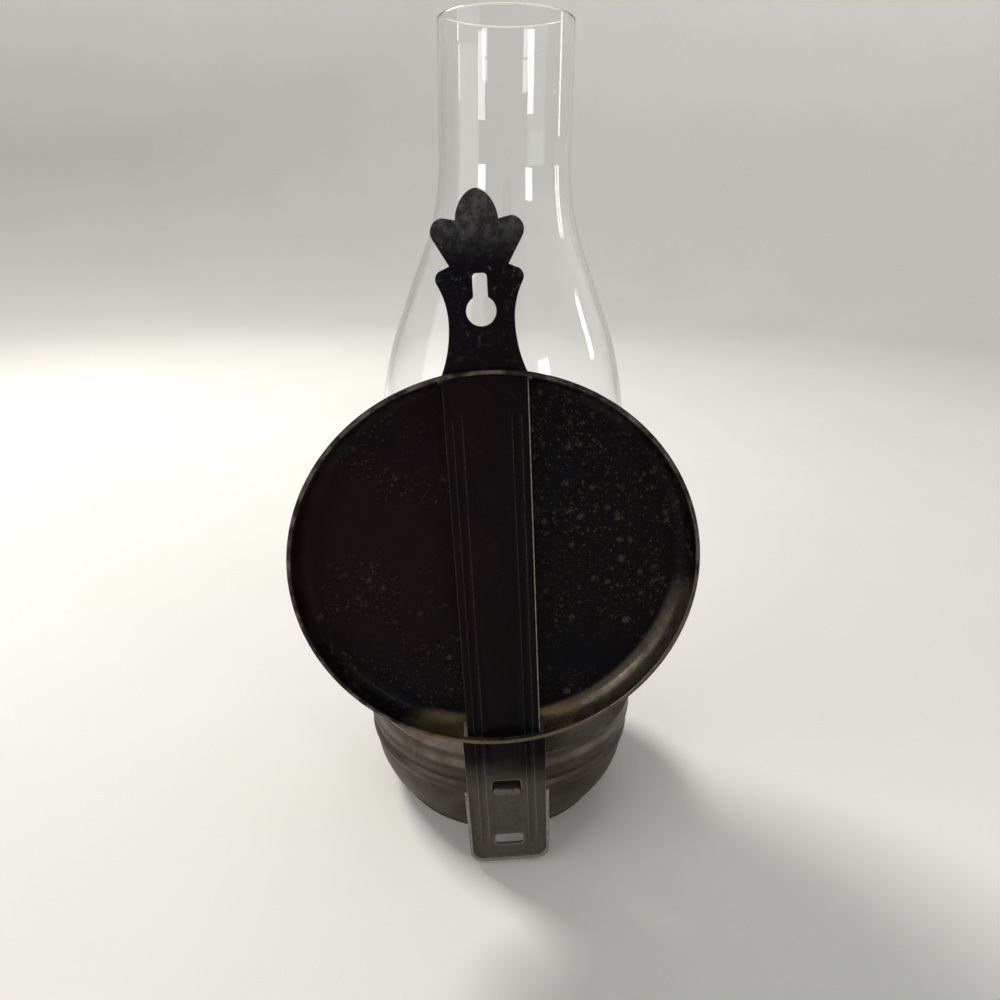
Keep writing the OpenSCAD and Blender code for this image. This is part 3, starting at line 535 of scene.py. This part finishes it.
def revolve(name, profile, steps, materials, place=None, pick=None, smooth=35):
    # profile is a closed loop of (radius, height) in millimetres
    mesh = bpy.data.meshes.new(name)
    verts, faces, picks = [], [], []
    count = len(profile)
    for i in range(steps):
        turn = 2 * math.pi * i / steps
        for r, h in profile:
            point = (r * math.cos(turn), r * math.sin(turn), h)
            point = place(point) if place else point
            verts.append([c * mm for c in point])
    for i in range(steps):
        k = (i + 1) % steps
        for j in range(count):
            n = (j + 1) % count
            if profile[j][0] < 1e-6 and profile[n][0] < 1e-6:
                continue
            faces.append((i * count + j, k * count + j, k * count + n, i * count + n))
            picks.append(pick(j) if pick else 0)
    mesh.from_pydata(verts, [], faces)
    for face, slot in zip(mesh.polygons, picks):
        face.material_index = slot
    bm = bmesh.new()
    bm.from_mesh(mesh)
    bmesh.ops.remove_doubles(bm, verts=bm.verts, dist=1e-7)
    bmesh.ops.dissolve_degenerate(bm, edges=bm.edges, dist=1e-8)
    bmesh.ops.recalc_face_normals(bm, faces=bm.faces)
    bm.to_mesh(mesh)
    bm.free()
    return makeObject(name, mesh, materials, smooth)


def arc(centre, radius, start, end, count):
    points = []
    for i in range(count + 1):
        a = math.radians(start + (end - start) * i / count)
        points.append((centre[0] + radius * math.cos(a), centre[1] + radius * math.sin(a)))
    return points


def dress(name, mat, bevel=0.12, segments=2, limit=32):
    # a CAD node keeps its mesh and gets softened edges and a finish
    obj = nodes[name]
    obj.data.materials.clear()
    obj.data.materials.append(mat)
    obj.data.shade_smooth()
    weld = obj.modifiers.new("weld", "WELD")
    weld.merge_threshold = 1e-6
    edge = obj.modifiers.new("edge", "BEVEL")
    edge.width = bevel * mm
    edge.segments = segments
    edge.limit_method = "ANGLE"
    edge.angle_limit = math.radians(limit)
    edge.harden_normals = True
    edge.use_clamp_overlap = True
    return obj


# floor, backdrop and lights

def makeStage(spec):
    outer = spec["radius"] * 1000
    bend = spec["bend"] * 1000
    profile = [(0, -0.4), (outer - bend, -0.4)]
    profile += arc((outer - bend, bend - 0.4), bend, -90, 0, 24)[1:]
    profile += [(outer, spec["height"] * 1000), (outer + 20, spec["height"] * 1000), (outer + 20, -30), (0, -30)]
    floor = revolve("floor", profile, 96, [paleFloor("pale_floor")], smooth=60)


lightSpec = [
    # name, place, aim, width, height, watts, colour
    ("key", (0.88, -0.85, 1.45), (0, 0, 0.1), 0.5, 0.5, 29.0, (1.0, 0.98, 0.94)),
    ("fill", (1.5, 0.6, 0.9), (0, 0, 0.12), 1.3, 1.3, 8.0, (0.97, 0.985, 1.0)),
    ("far", (-0.6, -1.4, 1.5), (0, 0, 0.1), 1.2, 1.0, 2.5, (0.95, 0.975, 1.0)),
    ("window_left", (1.1, 1.2, 0.67), (0, 0, 0.67), 0.34, 0.30, 3.0, (0.94, 0.97, 1.0)),
    ("window_right", (-1.02, 1.25, 0.68), (0, 0, 0.68), 0.30, 0.28, 3.2, (0.97, 0.985, 1.0)),
    ("window_side", (-1.6, -0.3, 0.64), (0, 0, 0.64), 0.10, 0.36, 1.1, (0.97, 0.985, 1.0)),
]


def makeLights(specs, worldLevel):
    for name, place, aim, width, height, watts, colour in specs:
        data = bpy.data.lights.new(name, "AREA")
        data.shape = "RECTANGLE"
        data.size = width
        data.size_y = height
        data.energy = watts
        data.color = colour
        lamp = bpy.data.objects.new(name, data)
        scene.collection.objects.link(lamp)
        lamp.location = place
        ahead = Vector(aim) - Vector(place)
        lamp.rotation_euler = ahead.to_track_quat("-Z", "Y").to_euler()
    world = bpy.data.worlds.new("room")
    world.use_nodes = True
    back = world.node_tree.nodes["Background"]
    back.inputs[0].default_value = (0.84, 0.91, 1.0, 1)
    back.inputs[1].default_value = worldLevel
    scene.world = world


makeStage(floorSpec)
makeLights(lightSpec, 0.32)
print("floor and lights made")


# glass chimney
chimneySpec = {"seat": 79.3, "base": 38.1, "bulge": 53.0, "bulgeZ": 90.0, "neck": 25.8, "neckZ": 208.04,
               "height": 254.0, "glass": 2.1, "lowIn": 38, "lowOut": 110, "highOut": 160, "highIn": 98,
               "shoulder": 21.5, "steps": 256}


def glassLine(spec, inset):
    slope = math.degrees(math.acos(1 - (spec["bulge"] - spec["base"]) / (spec["lowIn"] + spec["lowOut"])))
    lowZ = spec["bulgeZ"] - (spec["lowIn"] + spec["lowOut"]) * math.sin(math.radians(slope))
    line = [(spec["base"] - inset, 0.5), (spec["base"] - inset, lowZ * 0.5)]
    line += arc((spec["base"] + spec["lowIn"], lowZ), spec["lowIn"] + inset, 180, 180 - slope, 16)
    line += arc((spec["bulge"] - spec["lowOut"], spec["bulgeZ"]), spec["lowOut"] - inset, -slope, 0, 28)[1:]
    line += arc((spec["bulge"] - spec["highOut"], spec["bulgeZ"]), spec["highOut"] - inset,
                0, spec["shoulder"], 28)[1:]
    line += arc((spec["neck"] + spec["highIn"], spec["neckZ"]), spec["highIn"] + inset,
                180 + spec["shoulder"], 180, 24)
    line.append((spec["neck"] - inset, spec["height"] - spec["glass"] / 2))
    return line


def makeChimney(spec):
    glass = spec["glass"]
    outer, inner = glassLine(spec, 0), glassLine(spec, glass)
    lip = arc((spec["neck"] - glass / 2, spec["height"] - glass / 2), glass / 2, 0, 180, 12)[1:-1]
    foot = [(spec["base"] - glass + 0.4, 0), (spec["base"] - 0.4, 0)]
    loop = outer + lip + list(reversed(inner)) + foot
    loop = [(r, h + spec["seat"]) for r, h in loop]
    chimney = revolve("glass_chimney_clear", loop, spec["steps"], [clearGlass("clear_glass")], smooth=60)
    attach(chimney, "chimney")
    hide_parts("glass_chimney")


makeChimney(chimneySpec)
print("chimney made")


# reflector pan, with the strip's slots in its wall

def onPan(point):
    x, y, z = point
    return leaned((x, panSpec["rimY"] - panSpec["depth"] + z, panSpec["centreZ"] - y))


def makeBox(name, low, high, place):
    mesh = bpy.data.meshes.new(name)
    bm = bmesh.new()
    bmesh.ops.create_cube(bm, size=1)
    for v in bm.verts:
        spot = [low[i] + (high[i] - low[i]) * (v.co[i] + 0.5) for i in range(3)]
        v.co = [c * mm for c in place(spot)]
    bm.to_mesh(mesh)
    bm.free()
    obj = bpy.data.objects.new(name, mesh)
    scene.collection.objects.link(obj)
    return obj


def makePan(spec):
    hemCentre = spec["radius"] - spec["hemRadius"]
    flat = hemCentre - spec["cove"]
    outR = hemCentre + spec["sheet"] / 2
    coveH = spec["depth"] - 2 * spec["hemRadius"]
    outW = outR - flat
    outer, inner = [], []
    for i in range(21):
        a = math.radians(90 * i / 20)
        outer.append((flat + outW * math.sin(a), coveH * (1 - math.cos(a))))
        inner.append((flat + (outW - spec["sheet"]) * math.sin(a),
                      coveH - (coveH - spec["sheet"]) * math.cos(a)))
    lift = coveH + spec["hemRadius"] * 0.25
    rings = [(r, 0) for r in (0, 12, 24, 36, 48, 58, 64)]
    topRings = [(r, spec["sheet"]) for r in (64, 58, 48, 36, 24, 12, 0)]
    loop = rings + outer + [(outR, lift), (outR - spec["sheet"], lift)] + list(reversed(inner)) + topRings
    frontCount = len(rings) + len(outer)
    finishes = [blackPaint("black_paint_pan", pan=True), brightTin("bright_tin")]
    pan = revolve("reflector_dish", loop, spec["steps"], finishes, onPan,
                  lambda j: 1 if j < frontCount else 0, 50)
    cutters = []
    for side in (-1, 1):
        middle = side * (flat + spec["radius"]) / 2
        reach = spec["radius"] - flat
        cutters.append(makeBox("slot_cutter", (-spec["slotHalf"], middle - reach, spec["slotLow"]),
                               (spec["slotHalf"], middle + reach, spec["slotHigh"]), onPan))
    for cutter in cutters:
        cut = pan.modifiers.new("slot", "BOOLEAN")
        cut.operation = "DIFFERENCE"
        cut.solver = "EXACT"
        cut.object = cutter
    bpy.context.view_layer.update()
    ready = bpy.data.meshes.new_from_object(pan.evaluated_get(bpy.context.evaluated_depsgraph_get()))
    pan.modifiers.clear()
    pan.data = ready
    for cutter in cutters:
        bpy.data.objects.remove(cutter)
    hemLoop = arc((hemCentre, spec["depth"] - spec["hemRadius"]), spec["hemRadius"], 0, 360, 20)[:-1]
    hem = revolve("reflector_hem", hemLoop, spec["steps"], finishes[:1], onPan, None, 60)
    for piece in (pan, hem):
        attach(piece, "reflector")
    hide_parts("reflector_pan")
    dress("rim_wire", steelWire("steel_wire"), 0.05)


makePan(panSpec)
print("reflector made")


# wall strip
stripSpec = {"bevel": 0.16}


def makeStrip(spec):
    dress("wall_strip", blackPaint("black_paint_strip", finial=True, tab=True), spec["bevel"], 2, 30)


makeStrip(stripSpec)
print("wall strip dressed")


# font
fontSpec = {"radius": 64.5, "base": 51.3, "height": 50.0, "sheet": 0.6, "dome": 3.4, "collar": 17.3,
            "bore": 15.9, "seam": 0.9, "steps": 256, "dent": 0.22}


def fontLine(spec):
    r, base, h = spec["radius"], spec["base"], spec["height"]
    line = [(base - 0.1, 0.9), (base + 0.35, 1.2), (base + 0.6, 1.6)]
    for i in range(1, 31):
        u = i / 30
        swell = (r - base - 3.2) * math.sin(math.pi / 2 * u ** 0.85)
        line.append((base + 0.9 + swell, 3 + (h * 0.56 - 3) * u))
    for i in range(1, 15):
        u = i / 14
        line.append((r - 2.1 + 1.3 * math.sin(math.pi * u), h * (0.58 + 0.10 * u)))
    for i in range(17):
        u = i / 16
        line.append((r - 2.0 + 2.0 * math.sin(math.pi * (0.05 + 0.75 * u)), h * (0.72 + 0.20 * u)))
    return line + [(r - 1.2, h * 0.95), (r - 1.2, h * 0.98), (r - 1.2, h)]


def makeFont(spec):
    line = fontLine(spec)
    loop = line + [(r - spec["sheet"], h) for r, h in reversed(line)]
    tin = wornTin("worn_tin")
    bowl = revolve("font_shell", loop, spec["steps"], [tin], smooth=50)
    # shallow dents, pushed in only
    for v in bowl.data.vertices:
        spot = v.co * 1000
        away = math.hypot(spot.x, spot.y)
        push = max(0.0, noise.noise(spot * 0.035) + 0.25 * noise.noise(spot * 0.11)) * spec["dent"]
        push *= min(1.0, max(0.0, (spot.z - 2) / 6)) * min(1.0, max(0.0, (49 - spot.z) / 3))
        v.co.x *= 1 - push / away
        v.co.y *= 1 - push / away
    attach(bowl, "font")
    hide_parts("font_bowl")
    wall = spec["radius"] - 1.2
    foot = spec["collar"] + 4
    dome = []
    for i in range(25):
        u = i / 24
        dome.append((foot + (wall - 2 - foot) * u, spec["height"] + spec["sheet"]
                     + (spec["dome"] - spec["sheet"]) * max(0.0, math.cos(math.pi / 2 * u)) ** 0.8))
    low = [(r, h - spec["sheet"]) for r, h in reversed(dome)]
    seam = arc((wall + spec["seam"] - 0.75, spec["height"] + spec["sheet"] - 0.75), 0.75, 90, 0, 6)
    topLoop = [(spec["bore"], spec["height"] + spec["dome"])] + dome + seam
    topLoop += [(wall + spec["seam"], spec["height"] - 1.7), (wall + spec["seam"] - 0.3, spec["height"] - 2),
                (wall, spec["height"] - 2), (wall, spec["height"])] + low
    topLoop += [(spec["bore"], spec["height"] + spec["dome"] - spec["sheet"])]
    lid = revolve("font_lid", topLoop, spec["steps"], [tin], smooth=50)
    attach(lid, "font")
    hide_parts("font_top")
    dress("font_base", tin, 0.15)
    dress("hook_bracket", hookMetal("hook_metal"), 0.25, 3)
    dress("collar", agedBrass("brass_collar"), 0.1)


makeFont(fontSpec)
print("font made")


# burner
burnerSpec = {"plain": ["burner_plug", "air_basket", "air_diffuser", "wick_tube", "vent_tube", "spur_housing",
                        "spindle_sleeve", "chimney_gallery", "spindle", "spur_wheels", "thumb_wheel"]}


def makeBurner(spec):
    brass = agedBrass("aged_brass")
    for name in spec["plain"]:
        dress(name, brass, 0.08, 2, 40)
    dress("flame_dome", agedBrass("sooty_brass", 92), 0.08, 2, 40)


makeBurner(burnerSpec)
print("burner dressed")


# wick
wickSpec = {"width": 25.4, "thick": 2.2, "top": 92.3, "bend": 9.0, "run": 22.0, "turn": 4.0, "tail": 9.0,
            "around": 96, "ribs": 20, "rib": 0.07}


def wickPath(spec):
    # centre line in (y, z), from the burning edge to the folded end
    bendZ = spec["tail"] + spec["bend"]
    path = [(0, spec["top"] - (spec["top"] - bendZ) * i / 90) for i in range(91)]
    path += arc((-spec["bend"], bendZ), spec["bend"], 0, -90, 16)[1:]
    end = -spec["bend"] - spec["run"]
    path += [(-spec["bend"] - spec["run"] * i / 20, spec["tail"]) for i in range(1, 21)]
    path += arc((end, spec["tail"] + spec["turn"]), spec["turn"], -90, -270, 16)[1:]
    path += [(end + (spec["run"] - 6) * i / 14, spec["tail"] + 2 * spec["turn"]) for i in range(1, 15)]
    return path


def makeWick(spec):
    path = wickPath(spec)
    half, thick = spec["width"] / 2, spec["thick"] / 2
    verts, faces = [], []
    around = spec["around"]
    for k, (y, z) in enumerate(path):
        before, after = path[max(k - 1, 0)], path[min(k + 1, len(path) - 1)]
        along = Vector((after[0] - before[0], after[1] - before[1])).normalized()
        side = Vector((-along.y, along.x))
        for i in range(around):
            a = 2 * math.pi * i / around
            c, s = math.cos(a), math.sin(a)
            across = half * math.copysign(abs(c) ** 0.16, c)
            out = thick * math.copysign(abs(s) ** 0.45, s)
            strand = math.cos(2 * math.pi * spec["ribs"] * across / spec["width"])
            out *= 1 - spec["rib"] * (1 - strand)
            out *= 1 - 0.04 * (1 + noise.noise(Vector((across * 0.3, k * 0.35, 1.7))))
            lift = 0.0
            if k == 0:
                lift = -0.35 * (1 + noise.noise(Vector((across * 0.9, s * 2, 4.2))))
            across *= 1 - 0.006 * (1 + noise.noise(Vector((k * 0.4, 3.1, s))))
            verts.append((across * mm, (y + side.x * out) * mm, (z + side.y * out + lift) * mm))
    rows = len(path)
    for k in range(rows - 1):
        for i in range(around):
            n = (i + 1) % around
            faces.append((k * around + i, k * around + n, (k + 1) * around + n, (k + 1) * around + i))
    faces.append(tuple(range(around - 1, -1, -1)))
    faces.append(tuple((rows - 1) * around + i for i in range(around)))
    mesh = bpy.data.meshes.new("wick_braid")
    mesh.from_pydata(verts, [], faces)
    bm = bmesh.new()
    bm.from_mesh(mesh)
    bmesh.ops.recalc_face_normals(bm, faces=bm.faces)
    bm.to_mesh(mesh)
    bm.free()
    braid = makeObject("wick_braid", mesh, [cottonWick("wick_cotton")], 60)
    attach(braid, "wick")
    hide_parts("wick")


makeWick(wickSpec)
print("wick made")
